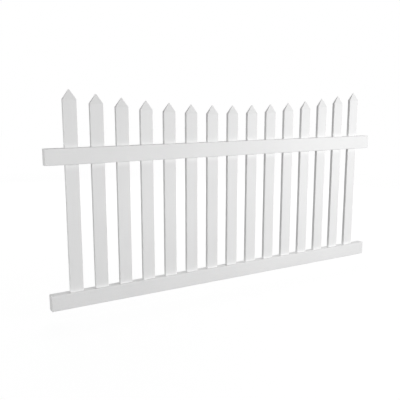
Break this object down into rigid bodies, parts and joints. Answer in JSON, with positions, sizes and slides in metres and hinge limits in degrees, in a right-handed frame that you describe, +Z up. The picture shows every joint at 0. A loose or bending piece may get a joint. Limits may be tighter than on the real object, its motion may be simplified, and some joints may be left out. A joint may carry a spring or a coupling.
{
  "type": "picket fence panel",
  "caption": "White vinyl picket fence panel: hollow pickets with pyramid caps pass through an upper and a lower rail, and their tops dip in a scallop.",
  "frame": {"origin": "centre of the lower rail's left end face, seen from the front; a post or bracket holds the panel there", "axes": "+X along the panel from its left end to its right end, +Y from the front to the back, +Z up"},
  "size_m": [2.4, 0.05, 1.216],
  "materials": {
    "rail_vinyl": "white rigid vinyl extrusion, satin",
    "picket_vinyl": "white rigid vinyl extrusion, satin",
    "cap_vinyl": "white moulded vinyl, satin"
  },
  "bodies": {
    "root": {"upper_rail": "rail_vinyl", "lower_rail": "rail_vinyl", "upper_rail_left_end_cap": "cap_vinyl", "upper_rail_right_end_cap": "cap_vinyl", "lower_rail_left_end_cap": "cap_vinyl", "lower_rail_right_end_cap": "cap_vinyl", "picket_01": "picket_vinyl", "picket_02": "picket_vinyl", "picket_03": "picket_vinyl", "picket_04": "picket_vinyl", "picket_05": "picket_vinyl", "picket_06": "picket_vinyl", "picket_07": "picket_vinyl", "picket_08": "picket_vinyl", "picket_09": "picket_vinyl", "picket_10": "picket_vinyl", "picket_11": "picket_vinyl", "picket_12": "picket_vinyl", "picket_13": "picket_vinyl", "picket_14": "picket_vinyl", "picket_15": "picket_vinyl", "picket_cap_01": "cap_vinyl", "picket_cap_02": "cap_vinyl", "picket_cap_03": "cap_vinyl", "picket_cap_04": "cap_vinyl", "picket_cap_05": "cap_vinyl", "picket_cap_06": "cap_vinyl", "picket_cap_07": "cap_vinyl", "picket_cap_08": "cap_vinyl", "picket_cap_09": "cap_vinyl", "picket_cap_10": "cap_vinyl", "picket_cap_11": "cap_vinyl", "picket_cap_12": "cap_vinyl", "picket_cap_13": "cap_vinyl", "picket_cap_14": "cap_vinyl", "picket_cap_15": "cap_vinyl"}
  },
  "joints": []
}
